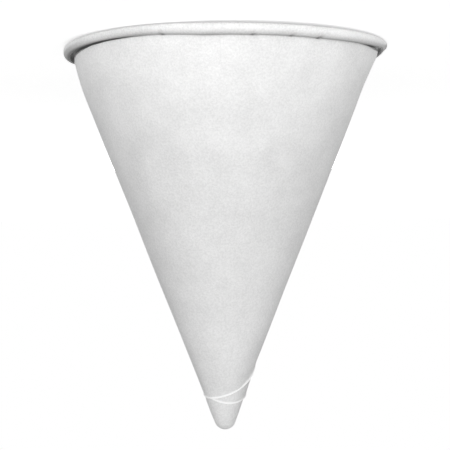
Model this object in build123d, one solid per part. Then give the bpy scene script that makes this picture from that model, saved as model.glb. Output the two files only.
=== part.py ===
from build123d import *
import os
from math import acos, acosh, asin, asinh, atan, atan2, cos, cosh, degrees, hypot, radians, sin, sinh, tan

# Cone paper cup with a rolled rim, in millimetres.
# It stands on its rim: +Z runs up the axis to the tip, and the mouth opens down at z = 0.
# Azimuths are in degrees from the front (-Y), anticlockwise seen from above.
# The cup is one sheet, wound to a cone and glued. Its innermost ply alone closes the tip, a
# second ply stops a little short of the tip, and the outer wrap ends along a long curved seam.

# Overall size
rim_diameter = 77.0
cup_height = 92.0

# Paper, and the round of the tip measured on the inside
ply = 0.12
tip_radius = 1.7

# Rolled rim: its size over the outside of the roll, and the flat that it stands on
bead_width = 2.3
bead_height = 2.5
rest_land = 0.6

# Rolled rim: where the wall turns straight, how far the free edge tucks in behind, and by how
# much each bend tightens half way, which keeps its two arcs apart as faces
neck_radius = 1.5
neck_height = 2.0
curl_tuck = 12.0
curl_gap = 0.3
bend_ease = 0.001

# Outer wrap: its trailing edge is a straight cut of the flat sheet, nearest to the apex here
outer_edge_distance = 11.9
outer_edge_azimuth = 47.0
outer_wrap_start = 140.0

# Second ply: it ends along a tilted cut, highest at this azimuth
second_edge_height = 82.8
second_edge_tilt = 27.0
second_edge_azimuth = -18.0

# Lap groove: inside, the sheet climbs over its own leading edge
groove_width = 0.9
groove_top = 76.0

# Depths into the sheet, counted outward from the face that was against the cone former
second_ply_depth = 2 * ply
outer_ply_depth = 3 * ply

# The roll in section, worked out from the sizes above
mouth_radius = rim_diameter / 2 - bead_width
crown_radius = (bead_width - rest_land) / 2
shoulder_radius = (bead_width - outer_ply_depth - curl_gap) / (1 + sin(radians(curl_tuck)))
curl_side = bead_height - crown_radius - shoulder_radius
neck_drop = neck_height - crown_radius

# The wall is the common tangent of the tip's arc and the neck's arc
tip_centre = cup_height - ply - tip_radius
tangent_run = mouth_radius - neck_radius
tangent_drop = tip_centre - neck_height
centre_distance = hypot(tangent_run, tangent_drop)
radius_change = tip_radius - neck_radius
wall_length = (centre_distance ** 2 - radius_change ** 2) ** 0.5
half_angle = degrees(atan2(tangent_run, tangent_drop) - asin(radius_change / centre_distance))
slope_sin = sin(radians(half_angle))
slope_cos = cos(radians(half_angle))
apex_height = tip_centre + tip_radius / slope_sin

# How far the cutting shapes reach past the paper
past_rim = 4.0
past_start = 8.0
past_seam = 3.0
cut_inner_reach = 0.6
cut_outer_reach = 1.4


def wall_line(depth):
    """The wall in section, from the tip to where it turns straight, at one depth into the sheet."""
    tip = JernArc((0, cup_height - ply + depth), (1, 0), tip_radius + depth, half_angle - 90)
    wall = straight_on(tip, wall_length)
    neck = JernArc(wall @ 1, wall % 1, neck_radius + depth, -half_angle)
    return [tip, wall, neck]


def roll_line(neck, depth):
    """The rolled rim in section, from the neck round to the sheet's free edge."""
    line = [straight_on(neck, neck_drop)]
    line += round_on(line[-1], crown_radius - depth, 90)
    line.append(straight_on(line[-1], rest_land))
    line += round_on(line[-1], crown_radius - depth, 90)
    line.append(straight_on(line[-1], curl_side))
    line += round_on(line[-1], shoulder_radius - depth, 90 + curl_tuck)
    return line


def straight_on(curve, length):
    """A straight line that carries on from the end of a curve."""
    return Line(curve @ 1, curve @ 1 + length * (curve % 1))


def round_on(curve, radius, turn):
    """A round turn to the left that carries on from the end of a curve and tightens half way."""
    first = JernArc(curve @ 1, curve % 1, radius + bend_ease, turn / 2)
    second = JernArc(first @ 1, first % 1, radius - bend_ease, turn / 2)
    return [first, second]


def in_chords(line):
    """The same line with each arc as one straight chord, for the face inside the roll."""
    return [Line(curve @ 0, curve @ 1) for curve in line]


def rolled_section():
    """The innermost ply, and all the plies pressed together where they roll over at the rim."""
    inner_wall = wall_line(0)
    inner_roll = roll_line(inner_wall[-1], 0)
    outer_wall = wall_line(ply)
    hidden_roll = in_chords(roll_line(wall_line(outer_ply_depth)[-1], outer_ply_depth))
    apex_end = Line(inner_wall[0] @ 0, outer_wall[0] @ 0)
    step = Line(outer_wall[-1] @ 1, hidden_roll[0] @ 0)
    free_edge = Line(inner_roll[-1] @ 1, hidden_roll[-1] @ 1)
    outline = [apex_end, step, free_edge] + inner_wall + inner_roll + outer_wall + hidden_roll
    return Plane.XZ * make_face(outline)


def wall_section(inner_depth, outer_depth):
    """The wall between two depths, carried a little way down into the roll."""
    inner = wall_line(inner_depth)
    outer = wall_line(outer_depth)
    inner.append(straight_on(inner[-1], neck_drop / 2))
    outer.append(straight_on(outer[-1], neck_drop / 2))
    ends = [Line(inner[0] @ 0, outer[0] @ 0), Line(inner[-1] @ 1, outer[-1] @ 1)]
    return Plane.XZ * make_face(ends + inner + outer)


def wound(section, first_azimuth=0.0, turn=360.0):
    """A section of the sheet, wound from one azimuth through a turn."""
    return Rot(0, 0, first_azimuth - 90) * revolve(section, Axis.Z, turn)


def largest_piece(shape, cutter):
    """What is left of a shape when the smaller piece on one side of a cutter falls away."""
    pieces = split(shape, bisect_by=cutter, keep=Keep.BOTH).solids()
    return max(pieces, key=lambda piece: piece.volume)


def rolled_ply():
    """The innermost ply and the rolled rim, with the groove beside the leading edge."""
    groove_turn = degrees(groove_width / mouth_radius)
    groove = wound(wall_section(0, ply), outer_wrap_start, groove_turn)
    groove = split(groove, bisect_by=Plane.XY.offset(groove_top), keep=Keep.BOTTOM)
    return wound(rolled_section()) - groove


def second_ply():
    """The turn under the outer wrap, cut off short of the tip along a tilted plane."""
    lean = radians(second_edge_tilt)
    azimuth = radians(second_edge_azimuth)
    normal = (-sin(lean) * sin(azimuth), sin(lean) * cos(azimuth), cos(lean))
    cut = Plane(origin=(0, 0, second_edge_height), z_dir=normal)
    return largest_piece(wound(wall_section(ply / 2, second_ply_depth)), cut)


def outer_edge_line(start, end, reach, steps=48):
    """The sheet's straight cut wound on the cone, its radius scaled by reach.

    The slant distance of a point is the edge distance times cosh(u), where u is counted
    from the foot of the cut, and the angle from the foot on the flat sheet is atan(sinh(u)).
    """
    points = []
    for step in range(steps + 1):
        u = start + (end - start) * step / steps
        slant = outer_edge_distance * cosh(u)
        azimuth = radians(outer_edge_azimuth) + atan(sinh(u)) / slope_sin
        radius = reach * slant * slope_sin
        height = apex_height - slant * slope_cos
        points.append((radius * sin(azimuth), -radius * cos(azimuth), height))
    return Edge.make_spline(points)


def outer_edge_cut():
    """A surface through the wall along the trailing edge, from behind the lap to past the rim."""
    lap_angle = radians(outer_wrap_start + past_start - outer_edge_azimuth) * slope_sin
    start = asinh(tan(lap_angle))
    end = -acosh((apex_height + past_rim) / slope_cos / outer_edge_distance)
    inner_line = outer_edge_line(start, end, cut_inner_reach)
    outer_line = outer_edge_line(start, end, cut_outer_reach)
    return Face.make_surface_from_curves(inner_line, outer_line)


def outer_wrap():
    """The last turn of the sheet, from where it laps over itself to its trailing edge."""
    rim_slant = apex_height / slope_cos
    seam_turn = degrees(acos(outer_edge_distance / rim_slant)) / slope_sin
    first_azimuth = outer_edge_azimuth - seam_turn - past_seam
    turn = outer_wrap_start - first_azimuth
    return largest_piece(wound(wall_section(ply, outer_ply_depth), first_azimuth, turn), outer_edge_cut())


def cone_cup():
    return rolled_ply() + second_ply() + outer_wrap()


os.makedirs("parts", exist_ok=True)
export_step(cone_cup(), "parts/cone_cup.step")
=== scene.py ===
from math import asin, atan2, cos, degrees, hypot, pi, radians, sin

import bpy
import numpy as np
from mathutils import Matrix, Vector


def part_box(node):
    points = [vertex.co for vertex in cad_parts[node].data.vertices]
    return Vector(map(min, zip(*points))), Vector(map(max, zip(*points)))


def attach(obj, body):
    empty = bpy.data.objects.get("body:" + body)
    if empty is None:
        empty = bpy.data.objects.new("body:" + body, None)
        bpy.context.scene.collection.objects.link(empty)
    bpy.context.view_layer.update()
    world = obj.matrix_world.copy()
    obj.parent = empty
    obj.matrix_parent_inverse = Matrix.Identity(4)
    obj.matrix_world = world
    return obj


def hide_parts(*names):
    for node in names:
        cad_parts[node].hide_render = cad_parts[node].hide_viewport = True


# Cone paper cup with a rolled rim, standing on its rim with its tip up.
# Sizes are in millimetres and turn into metres where a mesh is made. Azimuths are in degrees
# from the front (-Y), anticlockwise seen from above, and depths count outward through the
# paper from the face that was against the cone former.

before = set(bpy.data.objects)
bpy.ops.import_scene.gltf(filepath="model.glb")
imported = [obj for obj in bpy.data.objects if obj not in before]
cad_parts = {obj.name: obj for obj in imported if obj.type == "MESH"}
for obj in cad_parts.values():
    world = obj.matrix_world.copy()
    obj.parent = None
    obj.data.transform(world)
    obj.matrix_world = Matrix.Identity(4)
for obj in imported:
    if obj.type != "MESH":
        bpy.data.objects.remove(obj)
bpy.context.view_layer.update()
metre = 1000.0

# Sizes of the cup
cup_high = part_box("cone_cup")[1]
rim_radius = cup_high.x * metre
cup_height = cup_high.z * metre
ply = 0.12
second_depth = 2 * ply
outer_depth = 3 * ply

# Rolled rim
bead_width = 2.3
bead_height = 2.5
rest_land = 0.6
curl_tuck = radians(12)
mouth_radius = rim_radius - bead_width
crown_radius = (bead_width - rest_land) / 2

# Gap behind the roll's free edge, where it lies close and where it stands off
close_gap = 0.02
open_gap = 0.4

# The neck, over which the wall turns upright behind the roll, ends at this height
neck_radius = 6.0
neck_height = 1.4
neck_drop = neck_height - crown_radius

# The tip is a blunt round nose that stops just short of the top of the box
nose_radius = 2.48
nose_slack = 0.25

# The wall is the common tangent of the nose's arc and the neck's arc
nose_height = cup_height - nose_slack - ply - nose_radius
tangent_run = mouth_radius - neck_radius
tangent_drop = nose_height - neck_height
centre_distance = hypot(tangent_run, tangent_drop)
radius_change = nose_radius - neck_radius
half_angle = atan2(tangent_run, tangent_drop) - asin(radius_change / centre_distance)
slope_sin = sin(half_angle)
slope_cos = cos(half_angle)
apex_height = nose_height + nose_radius / slope_sin

# Distances down the slant from the apex of the wall to its start below the nose, to the pole of
# the nose, to the wall's end at the neck, to the upright drop below the neck, and to the roll
wall_start = nose_radius * slope_cos / slope_sin
pole_slant = wall_start - nose_radius * (pi / 2 - half_angle)
wall_end = wall_start + (centre_distance ** 2 - radius_change ** 2) ** 0.5
drop_start = wall_end + neck_radius * half_angle
roll_start = drop_start + neck_drop

# Outer wrap: its trailing edge is a straight cut of the flat sheet
wrap_edge_distance = 13.0
wrap_edge_azimuth = 47.0
wrap_lap_azimuth = 140.0
wrap_lap_fade = 7.0
wrap_lap_sink = 1.2 * ply

# Second ply: it ends along a tilted cut
second_edge_height = 82.8
second_edge_tilt = radians(27.0)
second_edge_azimuth = -18.0

# Groove inside, where the sheet climbs over its own leading edge: it fades over so many degrees
groove_fade = 14

# How far a cut edge stands up, over a short way, and over a longer one at this azimuth
short_reach = 0.28
long_reach = 0.8
second_lift = 0.11
second_long_lift = 0.12
second_lift_azimuth = -92
wrap_lift = 0.16
wrap_long_lift = 0.15
wrap_lift_azimuth = -84

# The wall lies closer in than a straight cone from just below the wrap's edge
waist_depth = 0.52
waist_ledge_drop = 9.0

# Slow waves of the wall: height, count round the cup, turn per millimetre down, and phase
wall_waves = ((0.045, 2, 1 / 13, 0.6), (0.03, 5, -1 / 7, 0.0), (0.02, 9, 1 / 4.1, 1.9))

# Slow waves of the roll's height: height, count round the cup, and phase
bead_waves = ((0.03, 5, 0.4), (0.03, 11, 2.0))

# The two ends of the rim are pressed, and shade is painted on the roll there. Each range of
# azimuths gives where an effect starts, is full, begins to fade and is gone, and the right ones count
# clockwise
left_stand_off = (22, 52, 95, 115)
right_stand_off = (54, 78, 98, 118)
left_lip = (52, 70, 84, 106)
right_lip = (58, 74, 88, 112)
left_pinch = (60, 85, 92, 120)
left_press = (8, 35, 62, 88)
# Where shade is painted on the roll, on its left and right sides
left_painted_shade = (48, 78, 100, 125)
right_painted_shade = (28, 46, 95, 120)

# Nicks in the roll's free edge: azimuth and strength of each
nick_places = ((21.3, 0.6), (-9.2, 0.5), (-22.6, 0.5), (-33.3, 0.8))
nick_width = 0.8

# Lean of the cone above the rim, and bend of the tip
lean_start = 0.47
lean_slope = 0.0079
tip_bend = -0.28

# Mesh
columns = 480
nose_rows = 11
wall_rows = 33
crown_steps = 8
shoulder_steps = 16
far_rows = 26
neck_rows = np.linspace(wall_end, drop_start, 25)[1:]
near_rows = (0.0, 0.05, 0.12, 0.2, 0.32, 0.55, 0.9, 1.4, 2.2)
sharp_angle = radians(38)

# Paper: dark and light of its body, its whiter cut edges, also used for a painted highlight, and their
# painted glow, the colour that painted shade in hollows tends to, and the marking that makes the second
# ply a little darker
paper_dark = (0.725, 0.725, 0.724)
paper_light = (0.935, 0.935, 0.934)
cut_and_highlight_colour = (0.97, 0.97, 0.97)
painted_glow = 0.09
painted_shade_colour = (0.15, 0.15, 0.15)
second_ply_shade = 0.04

# Paper: size in millimetres and share of each unevenness of its colour and of its surface
cloud_size, cloud_share = 7.0, 0.27
drift_size, drift_share = 30.0, 0.18
grain_size, grain_share = 0.45, 0.55
fibre_size, fibre_share = 0.3, 0.35
dimple_size = 2.2

# Light from all round as it falls on the cup: strength at the horizon and higher up
horizon_level = 0.33
zenith_level = 0.48

# Floor, in metres: where its glow rises and falls, and by how much the ring is narrowed and moved
floor_radius = 6.0
floor_albedo = 0.8
glow_level = 1.36
glow_rise = (0.038, 0.046)
glow_fall = (0.05, 0.085)
glow_narrowing = (1.3, 1, 1)
glow_move = (0.003, 0, 0)

# Floor, seen directly: its brightness near the cup and far off, and the distances of both
near_white, far_white = 0.57, 0.67
near_distance, far_distance = 0.1, 0.5

# Camera: its place in metres, its lens in millimetres, and its shifts in widths of the picture
camera_place = (0, -0.295, 0.0436)
camera_lens = 98.34
camera_shift_x = -0.0044
camera_shift_y = 0.0078
camera_roll = radians(0.567)


def smoothstep(value, start, end):
    """0 before start, 1 after end, and a smooth rise between."""
    share = np.clip((value - start) / (end - start), 0, 1)
    return share * share * (3 - 2 * share)


def between(value, start, full, fade, gone):
    """1 from full to fade, 0 before start and once gone, and smooth between."""
    return smoothstep(value, start, full) * (1 - smoothstep(value, fade, gone))


def bump(value, centre, width):
    """A bell curve of height 1."""
    return np.exp(-((value - centre) / width) ** 2)


def turned(azimuth, start):
    """An azimuth counted on from start, between 0 and 360 degrees."""
    return (azimuth - start) % 360


def away(azimuth, centre):
    """How far an azimuth lies from another, between -180 and 180 degrees."""
    return (azimuth - centre + 180) % 360 - 180


# Form of the sheet

def on_sheet(slant, depth):
    """Radius and height of a point of the sheet, from its slant distance and its depth."""
    nose_turn = np.clip((wall_start - slant) / nose_radius, 0, pi / 2 - half_angle)
    neck_turn = np.clip((slant - wall_end) / neck_radius, 0, half_angle)
    along = np.clip(slant, wall_start, wall_end)
    fall = np.maximum(slant - drop_start, 0)
    nose_angle = half_angle + nose_turn
    neck_angle = half_angle - neck_turn
    radius = along * slope_sin
    height = apex_height - along * slope_cos - fall
    radius = radius + nose_radius * (np.cos(nose_angle) - slope_cos)
    height = height + nose_radius * (np.sin(nose_angle) - slope_sin)
    radius = radius + neck_radius * (np.cos(neck_angle) - slope_cos)
    height = height + neck_radius * (np.sin(neck_angle) - slope_sin)
    facing = half_angle + nose_turn - neck_turn
    return radius + depth * np.cos(facing), height + depth * np.sin(facing)


def wrap_edge(azimuth):
    """Slant distance of the outer wrap's trailing edge, and the cosine of its turn from the foot."""
    turn = radians(1) * (azimuth - wrap_edge_azimuth) * slope_sin
    return wrap_edge_distance / np.cos(turn), np.cos(turn)


def second_edge(azimuth):
    """Slant distance of the second ply's edge, where a tilted plane meets the wall."""
    lean = np.tan(second_edge_tilt) * np.cos(np.radians(azimuth - second_edge_azimuth))
    return (apex_height - second_edge_height) / (slope_cos + slope_sin * lean)


def waist(azimuth, slant):
    """The wall lies closer in than a straight cone, most of all just below the wrap's edge."""
    turn = np.radians(azimuth - wrap_edge_azimuth)
    ledge = wrap_edge_distance + waist_ledge_drop * ((1 - np.cos(turn)) / 2) ** 1.8
    grown = np.clip((wall_end - slant) / (wall_end - wrap_edge_distance), 0, 1)
    return -waist_depth * grown * smoothstep(slant, ledge - 2.2, ledge + 0.6)


def dents(azimuth, slant):
    """Slow unevenness of the wall, less how far it is pressed in just behind the roll."""
    side = np.radians(azimuth)
    wave = 0.0
    for height, count, twist, phase in wall_waves:
        wave = wave + height * np.sin(count * side + twist * slant + phase)
    fade = between(slant, 9, 20, wall_end - 9, wall_end)
    pinch = 0.4 * bump(slant, wall_end - 0.8, 1.6) * between(azimuth, *left_pinch)
    dip = 0.3 * bump(slant, wall_end - 2, 6) * bump(azimuth, -88, 20)
    slot = in_slot(azimuth, slant) + 0.25 * in_slot(azimuth, slant, slot_lip(azimuth))
    return wave * fade - pinch - dip - standing_off(azimuth) * slot


def standing_off(azimuth):
    """Where the roll's free edge stands off the wall: at both ends of the rim and at the nicks."""
    left = between(azimuth, *left_stand_off)
    right = 1.15 * between(-azimuth, *right_stand_off)
    return left + right + nicks(azimuth)


def nicks(azimuth):
    """Four short places where the roll's free edge is nicked."""
    amount = 0.0
    for place, strength in nick_places:
        amount = amount + strength * bump(azimuth, place, nick_width)
    return amount


def slot_lip(azimuth):
    """How much higher the wall bends into the slot at the two ends of the rim and at the nicks."""
    left = 0.45 * between(azimuth, *left_lip) + 0.3 * bump(azimuth, 80, 7)
    right = 0.55 * between(-azimuth, *right_lip)
    return left + right + 0.45 * nicks(azimuth)


def in_slot(azimuth, slant, lip=0.0):
    """1 on the part of the wall that lies in the slot behind the roll, and 0 above it."""
    rise = bead_top(azimuth) + 0.06 + 0.2 * smoothstep(azimuth, 20, 60) + lip - neck_height
    brow = wall_end + neck_radius * (half_angle - np.arcsin(rise / neck_radius))
    return between(slant, brow, brow + 0.14, drop_start - 0.1, drop_start + 0.4)


def curl_gap(azimuth):
    """How far the curl's free edge stands off the wall."""
    return close_gap + open_gap * standing_off(azimuth)


def bead_top(azimuth):
    """Height of the roll, which varies a little round the rim."""
    side = np.radians(azimuth)
    wave = 0.14 * bump(azimuth, 6.3, 4.0)
    for height, count, phase in bead_waves:
        wave = wave + height * np.sin(count * side + phase)
    pressed = 0.5 * between(azimuth, *left_press) + 0.38 * nicks(azimuth)
    pressed = pressed + 0.75 * bump(azimuth, -87, 22) + 0.3 * bump(azimuth, -86, 8)
    return bead_height + wave - pressed


def roll_arc(centre_radius, centre_height, radius, start, turn, count):
    """Points of one bend of the roll, for all azimuths at once."""
    rows = []
    for step in range(count + 1):
        angle = start + turn * step / count
        rows.append((centre_radius + radius * cos(angle), centre_height + radius * sin(angle)))
    return rows


def on_roll(azimuth, depth):
    """Rows of radius and height round the rolled rim, from the drop to the free edge."""
    tall = bead_top(azimuth)
    crown = crown_radius - depth
    inner_centre = mouth_radius + crown_radius
    outer_centre = inner_centre + rest_land
    shoulder = (bead_width - outer_depth - curl_gap(azimuth)) / (1 + sin(curl_tuck))
    shoulder_centre = rim_radius - shoulder
    tucked = pi / 2 + curl_tuck
    rows = roll_arc(inner_centre, crown_radius, crown, pi, pi / 2, crown_steps)
    rows += roll_arc(outer_centre, crown_radius, crown, -pi / 2, pi / 2, crown_steps)
    rows += roll_arc(shoulder_centre, tall - shoulder, shoulder - depth, 0, tucked, shoulder_steps)
    flat = np.zeros_like(azimuth)
    return [(radius + flat, height + flat) for radius, height in rows]


def settled(azimuth, radius, height):
    """Places of the points in metres, once the cup has leaned and its rim has warped a little."""
    side = np.radians(azimuth)
    ring = np.radians(np.arange(-180, 180, 1.0))
    warp = rim_warp(side) - rim_warp(ring).min()
    lift = warp * (1 - smoothstep(height, 3, 45))
    lean = (lean_start + lean_slope * height) * smoothstep(height, 2.4, 12)
    bent_tip = tip_bend * smoothstep(height, 81, 91)
    x = radius * np.sin(side) + lean + bent_tip
    y = -radius * np.cos(side)
    return np.stack([x, y, height + lift], axis=-1) / metre


def rim_warp(side):
    """Height of the warped rim, before it is set down on the floor."""
    low = 0.1 * bump(side, radians(30), radians(16))
    return 0.09 * np.sin(2 * side) + 0.035 * np.cos(3 * side) - 0.22 * np.sin(3 * side) - low


# Markings: painted shade and highlight

def painted_roll_shade(azimuth, share):
    """Painted shade of the roll, by the share of the way round it from the mouth to the free edge.

    It is strongest at the back, and it is painted over the roll's far side at both ends of the
    rim. The outside of the roll is painted lighter, as a highlight, over a stretch on the right.
    """
    # Painted shade over the roll's far side at both ends of the rim
    ends = between(azimuth, *left_painted_shade) + bump(azimuth, -82, 13)
    # Painted shade at the back of the roll, towards its free edge
    back = 0.12 * smoothstep(share, 0.58, 0.75) + 0.38 * smoothstep(share, 0.74, 0.95)
    # Painted shade near the free edge on the right, and where the edge stands off
    right = 0.25 * between(-azimuth, *right_painted_shade) + 0.4 * bump(azimuth, -86, 8)
    edge = (right + 0.2 * standing_off(azimuth)) * smoothstep(share, 0.82, 1)
    # Painted shade of the roll's back in two stretches near the front
    fold_shade = 0.15 * (bump(azimuth, 5, 5) + bump(azimuth, 27, 8)) * bump(share, 0.82, 0.09)
    # Painted highlight on the outside of the roll on the right
    painted_highlight = 0.3 * bump(azimuth, -62, 24) * between(share, 0.25, 0.4, 0.6, 0.75)
    return 0.36 * ends * smoothstep(share, 0.52, 0.68) + back + edge + fold_shade - painted_highlight


def painted_slot_shade(azimuth, slant):
    """Painted shade on the wall where it lies in the slot behind the roll."""
    amount = np.clip(1.5 * standing_off(azimuth), 0, 1)
    bent = in_slot(azimuth, slant, slot_lip(azimuth))
    return -amount * (0.3 * in_slot(azimuth, slant) + 0.58 * bent)


# Meshes

def make_piece(name, points, faces, tone):
    """A closed mesh piece that rides on the part, with its marking for cut edges, painted highlight and
    painted shade.

    The marking is above 0 where the paper is cut, which whitens it with a painted glow, or is painted
    lighter as a highlight, and below 0 where shade is painted on it or the paper is a little darker.
    """
    mesh = bpy.data.meshes.new(name)
    mesh.from_pydata(points, [], faces)
    mesh.update()
    mesh.shade_smooth()
    mesh.set_sharp_from_angle(angle=sharp_angle)
    marking = mesh.attributes.new("cut_white_painted_light_and_shade", "FLOAT", "POINT")
    marking.data.foreach_set("value", np.asarray(tone, np.float32))
    piece = bpy.data.objects.new(name, mesh)
    bpy.context.collection.objects.link(piece)
    mesh.materials.append(paper)
    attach(piece, "root")
    return piece


def strip_faces(rows, count, closed_round, closed_loop):
    """Quads of a grid of rows by count points, joined up round the axis, or row to row, or both."""
    faces = []
    for row in range(rows if closed_loop else rows - 1):
        after = (row + 1) % rows
        for step in range(count if closed_round else count - 1):
            ahead = (step + 1) % count
            first = row * count
            second = after * count
            faces.append((first + step, second + step, second + ahead, first + ahead))
    return faces


def all_round():
    """The azimuths of the columns of a piece that goes all round the cup."""
    return np.arange(columns) * 360.0 / columns - 180


def sheet_and_rim():
    """The innermost ply, and the rolled rim in which all plies are pressed together."""
    azimuth = all_round()
    flat = np.zeros(columns)
    nose = np.linspace(pole_slant, wall_start, nose_rows + 1)[1:]
    wall = np.linspace(wall_start, wall_end, wall_rows + 1)[1:]
    slants = list(nose) + list(wall) + list(neck_rows)
    groove = ply * (1 - smoothstep(turned(azimuth, wrap_lap_azimuth), 0, groove_fade))
    rows = []
    tones = []
    for slant in slants:
        reach = between(slant, 14, 20, wall_end - 4, wall_end)
        rows.append(on_sheet(slant, waist(azimuth, slant) + dents(azimuth, slant) + groove * reach))
        tones.append(flat)
    outer_roll = on_roll(azimuth, 0)
    inner_roll = on_roll(azimuth, outer_depth)
    rows += outer_roll + inner_roll[::-1]
    for index in range(len(outer_roll)):
        # Painted shade and a painted highlight round the roll
        tones.append(-painted_roll_shade(azimuth, index / (len(outer_roll) - 1)))
    tones += [flat] * len(inner_roll)
    slants.append(roll_start - 0.1)
    for slant in slants[::-1]:
        rows.append(on_sheet(slant, ply + waist(azimuth, slant) + dents(azimuth, slant)))
        # Painted shade in the slot behind the roll
        tones.append(painted_slot_shade(azimuth, slant))
    points = np.concatenate([settled(azimuth, radius, height) for radius, height in rows])
    faces = strip_faces(len(rows), columns, True, False)
    inner_pole = settled(np.zeros(1), *on_sheet(np.full(1, pole_slant), 0.0))
    outer_pole = settled(np.zeros(1), *on_sheet(np.full(1, pole_slant), ply))
    points = np.concatenate([points, inner_pole, outer_pole])
    tones.append(np.zeros(2))
    last_ring = (len(rows) - 1) * columns
    for step in range(columns):
        ahead = (step + 1) % columns
        faces.append((len(points) - 2, step, ahead))
        faces.append((len(points) - 1, last_ring + ahead, last_ring + step))
    return make_piece("sheet_and_rim", points.tolist(), faces, np.concatenate(tones))


def ply_slants(edge, spread):
    """Rows of slant from a ply's cut edge down to the roll, close together near the edge.

    Spread is the share of a distance down the slant that lies square to the edge. Where the
    edge itself comes down near the roll, the rows share evenly what is left of the wall.
    """
    bottom = roll_start - 0.02
    slants = []
    for index, past in enumerate(near_rows):
        room = 0.9 * (bottom - edge) * index / (len(near_rows) - 1)
        slants.append(edge + np.minimum(past / spread, room))
    last = slants[-1]
    targets = [last + (wall_end - last) * step / far_rows for step in range(1, far_rows + 1)]
    targets += list(neck_rows) + [bottom]
    for index, target in enumerate(targets):
        evenly = last + (bottom - last) * (index + 1) / len(targets)
        slants.append(np.where(last < wall_end, target, evenly))
    return slants


def ply_loop(edge, spread, inner_depth, outer_depth, short_lift, long_lift):
    """Rows of slant, depth and marking round one ply in section, from its cut edge and back.

    The lifts are how far the very edge stands up, over a short way and over a longer one.
    """
    outside = []
    inside = []
    far_off = 9.0
    for index, slant in enumerate(ply_slants(edge, spread)):
        past = near_rows[index] if index < len(near_rows) else far_off
        raised = short_lift * bump(past, 0, short_reach) + long_lift * bump(past, 0, long_reach)
        blunt = 0.3 * ply if index == 0 else 0.0
        # Cut edges are whiter and get a painted glow through the marking
        cut_white_and_glow = float(1 - smoothstep(past, 0.2, 0.45))
        outside.append((slant, outer_depth + raised - blunt, cut_white_and_glow))
        inside.append((slant, inner_depth + raised, cut_white_and_glow))
    return outside + inside[::-1]


def ply_points(azimuth, loop, sunk=0.0, shade=0.0):
    """Points and markings of one ply, from its loop in section."""
    points = []
    tones = []
    for slant, depth, mark in loop:
        shape = depth - sunk + waist(azimuth, slant) + dents(azimuth, slant)
        points.append(settled(azimuth, *on_sheet(slant, shape)))
        # Whiter cut edges with a painted glow, painted shade in the slot, and a little darker second
        # ply
        tones.append(mark + painted_slot_shade(azimuth, slant) - shade)
    return np.concatenate(points).tolist(), np.concatenate(tones)


def second_ply():
    """The turn under the outer wrap, which stops short of the tip."""
    azimuth = all_round()
    long_lift = second_long_lift * bump(away(azimuth, second_lift_azimuth), 0, 24)
    loop = ply_loop(second_edge(azimuth), 1.0, ply / 2, second_depth, second_lift, long_lift)
    points, tones = ply_points(azimuth, loop, shade=second_ply_shade)
    faces = strip_faces(len(loop), columns, True, True)
    return make_piece("second_ply", points, faces, tones)


def outer_wrap():
    """The last turn of the sheet, up to its long curved trailing edge."""
    seam_turn = degrees(np.arccos(wrap_edge_distance / (roll_start - 0.4))) / slope_sin
    first = wrap_edge_azimuth - seam_turn
    last = wrap_lap_azimuth + wrap_lap_fade
    count = round((last - first) * columns / 360)
    azimuth = np.linspace(first, last, count)
    edge, spread = wrap_edge(azimuth)
    sunk = wrap_lap_sink * smoothstep(azimuth, wrap_lap_azimuth, last)
    long_lift = wrap_long_lift * bump(azimuth, wrap_lift_azimuth, 20)
    loop = ply_loop(edge, spread, ply, outer_depth, wrap_lift, long_lift)
    points, tones = ply_points(azimuth, loop, sunk=sunk)
    faces = strip_faces(len(loop), count, False, True)
    first_cap = [row * count for row in range(len(loop))]
    last_cap = [row * count + count - 1 for row in range(len(loop))]
    faces += [tuple(first_cap), tuple(reversed(last_cap))]
    return make_piece("outer_wrap", points, faces, tones)


# Materials

def new_material(name):
    """A node material with only its output node."""
    material = bpy.data.materials.new(name)
    material.use_nodes = True
    material.node_tree.nodes.clear()
    output = material.node_tree.nodes.new("ShaderNodeOutputMaterial")
    return material, material.node_tree, output


def noise(tree, place, size, detail, rough=0.5):
    """A noise texture whose features are about size millimetres across."""
    node = tree.nodes.new("ShaderNodeTexNoise")
    node.inputs["Scale"].default_value = metre / size
    node.inputs["Detail"].default_value = detail
    node.inputs["Roughness"].default_value = rough
    tree.links.new(place, node.inputs["Vector"])
    return node.outputs["Fac"]


def remap(tree, value, low, high, to_low, to_high):
    """A value stretched from one range to another, and held inside it."""
    node = tree.nodes.new("ShaderNodeMapRange")
    node.inputs["From Min"].default_value = low
    node.inputs["From Max"].default_value = high
    node.inputs["To Min"].default_value = to_low
    node.inputs["To Max"].default_value = to_high
    tree.links.new(value, node.inputs["Value"])
    return node.outputs["Result"]


def arithmetic(tree, operation, first, second):
    """One sum or product of two sockets or numbers."""
    node = tree.nodes.new("ShaderNodeMath")
    node.operation = operation
    for value, socket in zip((first, second), node.inputs):
        if isinstance(value, (int, float)):
            socket.default_value = value
        else:
            tree.links.new(value, socket)
    return node.outputs["Value"]


def vector_math(tree, operation, vector, second=(0, 0, 0)):
    """The outputs of one sum, product or length of vectors."""
    node = tree.nodes.new("ShaderNodeVectorMath")
    node.operation = operation
    node.inputs[1].default_value = second
    tree.links.new(vector, node.inputs[0])
    return node.outputs


def blend_colour(tree, share, first, second):
    """A mix of two colours, each a socket or an RGB triple."""
    node = tree.nodes.new("ShaderNodeMix")
    node.data_type = "RGBA"
    tree.links.new(share, node.inputs["Factor"])
    for value, socket in zip((first, second), (node.inputs[6], node.inputs[7])):
        if isinstance(value, tuple):
            socket.default_value = (*value, 1)
        else:
            tree.links.new(value, socket)
    return node.outputs[2]


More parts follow.
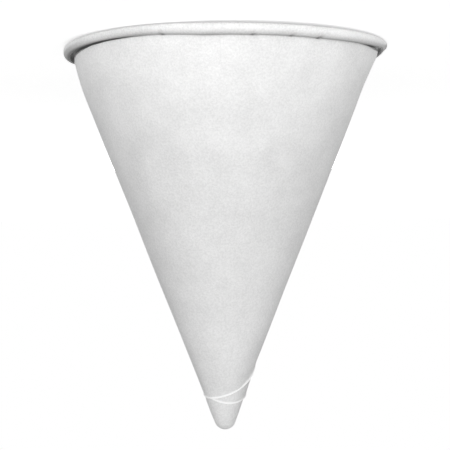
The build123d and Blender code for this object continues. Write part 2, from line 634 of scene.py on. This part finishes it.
def paper_material():
    """Uncoated white cup paper: cloudy formation, fine fibres, whiter raw edges with a painted glow,
    and painted highlight and shade from its marking.
    """
    material, tree, output = new_material("white_cup_paper")
    place = tree.nodes.new("ShaderNodeTexCoord").outputs["Object"]
    cloud = remap(tree, noise(tree, place, cloud_size, 4, 0.55), 0.35, 0.65, 0, 1)
    drift = remap(tree, noise(tree, place, drift_size, 2), 0.35, 0.65, 0, 1)
    grain = remap(tree, noise(tree, place, grain_size, 3, 0.75), 0.36, 0.64, 0, 1)
    share = arithmetic(tree, "MULTIPLY", cloud, cloud_share)
    share = arithmetic(tree, "ADD", share, arithmetic(tree, "MULTIPLY", drift, drift_share))
    share = arithmetic(tree, "ADD", share, arithmetic(tree, "MULTIPLY", grain, grain_share))
    body = blend_colour(tree, share, paper_dark, paper_light)
    tone = tree.nodes.new("ShaderNodeAttribute")
    tone.attribute_name = "cut_white_painted_light_and_shade"
    # The marking above 0 whitens cut edges and paints a highlight and a glow; below 0 it paints shade
    cut = remap(tree, tone.outputs["Fac"], 0.0, 1.0, 0.0, 1.0)
    painted_shade = remap(tree, tone.outputs["Fac"], 0.0, -1.0, 0.0, 1.0)
    colour = blend_colour(tree, cut, body, cut_and_highlight_colour)
    colour = blend_colour(tree, painted_shade, colour, painted_shade_colour)
    fibres = noise(tree, place, fibre_size, 4, 0.65)
    dimples = noise(tree, place, dimple_size, 3, 0.5)
    relief = arithmetic(tree, "ADD", arithmetic(tree, "MULTIPLY", fibres, fibre_share), dimples)
    lumps = tree.nodes.new("ShaderNodeBump")
    lumps.inputs["Strength"].default_value = 0.35
    lumps.inputs["Distance"].default_value = 0.2 / metre
    tree.links.new(relief, lumps.inputs["Height"])
    shader = tree.nodes.new("ShaderNodeBsdfPrincipled")
    shader.inputs["Roughness"].default_value = 0.72
    shader.inputs["Specular IOR Level"].default_value = 0.25
    shader.inputs["Emission Color"].default_value = (1, 1, 1, 1)
    # Painted glow, on cut edges and on the painted highlight of the roll
    tree.links.new(arithmetic(tree, "MULTIPLY", cut, painted_glow), shader.inputs["Emission Strength"])
    tree.links.new(colour, shader.inputs["Base Color"])
    tree.links.new(lumps.outputs["Normal"], shader.inputs["Normal"])
    tree.links.new(shader.outputs["BSDF"], output.inputs["Surface"])
    return material


# Setting

def seen_directly(tree):
    """1 for camera, glossy and transmitted rays, which are to find a white setting."""
    rays = tree.nodes.new("ShaderNodeLightPath").outputs
    mirrored = arithmetic(tree, "MAXIMUM", rays["Is Glossy Ray"], rays["Is Transmission Ray"])
    return arithmetic(tree, "MAXIMUM", rays["Is Camera Ray"], mirrored)


def matt_glow(tree, emission):
    """A pale matt surface that also gives off light, of a strength from a socket."""
    light = tree.nodes.new("ShaderNodeEmission")
    tree.links.new(emission, light.inputs["Strength"])
    matt = tree.nodes.new("ShaderNodeBsdfDiffuse")
    matt.inputs["Color"].default_value = (floor_albedo, floor_albedo, floor_albedo, 1)
    both = tree.nodes.new("ShaderNodeAddShader")
    tree.links.new(light.outputs["Emission"], both.inputs[0])
    tree.links.new(matt.outputs["BSDF"], both.inputs[1])
    return both.outputs["Shader"]


def floor_material():
    """A pale table top that glows softly round the cup, as a light table does.

    Seen directly it is near white instead, a little more so far off, and keeps the cup's shadow.
    """
    material, tree, output = new_material("pale_light_table")
    place = tree.nodes.new("ShaderNodeTexCoord").outputs["Object"]
    distance = vector_math(tree, "LENGTH", place)["Value"]
    moved = vector_math(tree, "ADD", place, glow_move)["Vector"]
    narrowed = vector_math(tree, "MULTIPLY", moved, glow_narrowing)["Vector"]
    reach = vector_math(tree, "LENGTH", narrowed)["Value"]
    rise = remap(tree, distance, *glow_rise, 0.0, glow_level)
    fall = remap(tree, reach, *glow_fall, 1.0, 0.0)
    glow = arithmetic(tree, "MULTIPLY", rise, fall)
    white = remap(tree, distance, near_distance, far_distance, near_white, far_white)
    choice = tree.nodes.new("ShaderNodeMixShader")
    tree.links.new(seen_directly(tree), choice.inputs["Fac"])
    tree.links.new(matt_glow(tree, glow), choice.inputs[1])
    tree.links.new(matt_glow(tree, white), choice.inputs[2])
    tree.links.new(choice.outputs["Shader"], output.inputs["Surface"])
    return material


def floor():
    """A wide round floor under the cup."""
    bpy.ops.mesh.primitive_circle_add(vertices=96, radius=floor_radius, fill_type="NGON")
    ground = bpy.context.object
    ground.name = "floor"
    ground.data.materials.append(floor_material())


def surroundings():
    """An even soft light from all round, which looks white behind the cup."""
    world = bpy.data.worlds.new("soft_white")
    world.use_nodes = True
    tree = world.node_tree
    tree.nodes.clear()
    output = tree.nodes.new("ShaderNodeOutputWorld")
    light = tree.nodes.new("ShaderNodeBackground")
    light.inputs["Color"].default_value = (1, 1, 1, 1)
    place = tree.nodes.new("ShaderNodeTexCoord").outputs["Generated"]
    split = tree.nodes.new("ShaderNodeSeparateXYZ")
    tree.links.new(place, split.inputs["Vector"])
    sky = remap(tree, split.outputs["Z"], 0.0, 0.7, horizon_level, zenith_level)
    strength = arithmetic(tree, "MAXIMUM", sky, seen_directly(tree))
    tree.links.new(strength, light.inputs["Strength"])
    tree.links.new(light.outputs["Background"], output.inputs["Surface"])
    bpy.context.scene.world = world


def soft_lamp(name, place, width, height, level):
    """A wide soft lamp aimed at the cup, whose level is the brightness of white paper facing it."""
    data = bpy.data.lights.new(name, "AREA")
    data.shape = "RECTANGLE"
    data.size = width
    data.size_y = height
    lamp = bpy.data.objects.new(name, data)
    bpy.context.collection.objects.link(lamp)
    aim = Vector((0, 0, cup_height / 2 / metre)) - Vector(place)
    data.energy = level * 4 * pi * aim.length_squared
    lamp.location = place
    lamp.rotation_euler = aim.to_track_quat("-Z", "Y").to_euler()
    lamp.visible_camera = False


def main_camera():
    """The picture's camera. The picture shows the cup tip down, so this camera is held upside down."""
    data = bpy.data.cameras.new("camera")
    data.lens = camera_lens
    data.shift_x = camera_shift_x
    data.shift_y = camera_shift_y
    camera = bpy.data.objects.new("camera", data)
    bpy.context.collection.objects.link(camera)
    right = Vector((-cos(camera_roll), 0, sin(camera_roll)))
    up = Vector((-sin(camera_roll), 0, -cos(camera_roll)))
    back = right.cross(up)
    turn = Matrix((right, up, back)).transposed().to_4x4()
    camera.matrix_world = Matrix.Translation(camera_place) @ turn
    bpy.context.scene.camera = camera


main_camera()
surroundings()
floor()
soft_lamp("front_lamp", (-0.01, -0.42, 0.055), 0.3, 0.08, 0.36)
soft_lamp("back_lamp", (-0.02, 0.62, 0.052), 0.3, 0.1, 0.28)

paper = paper_material()
cup_sheet = sheet_and_rim()
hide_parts("cone_cup")
second_ply()
outer_wrap()

bpy.context.scene.view_settings.view_transform = "Standard"
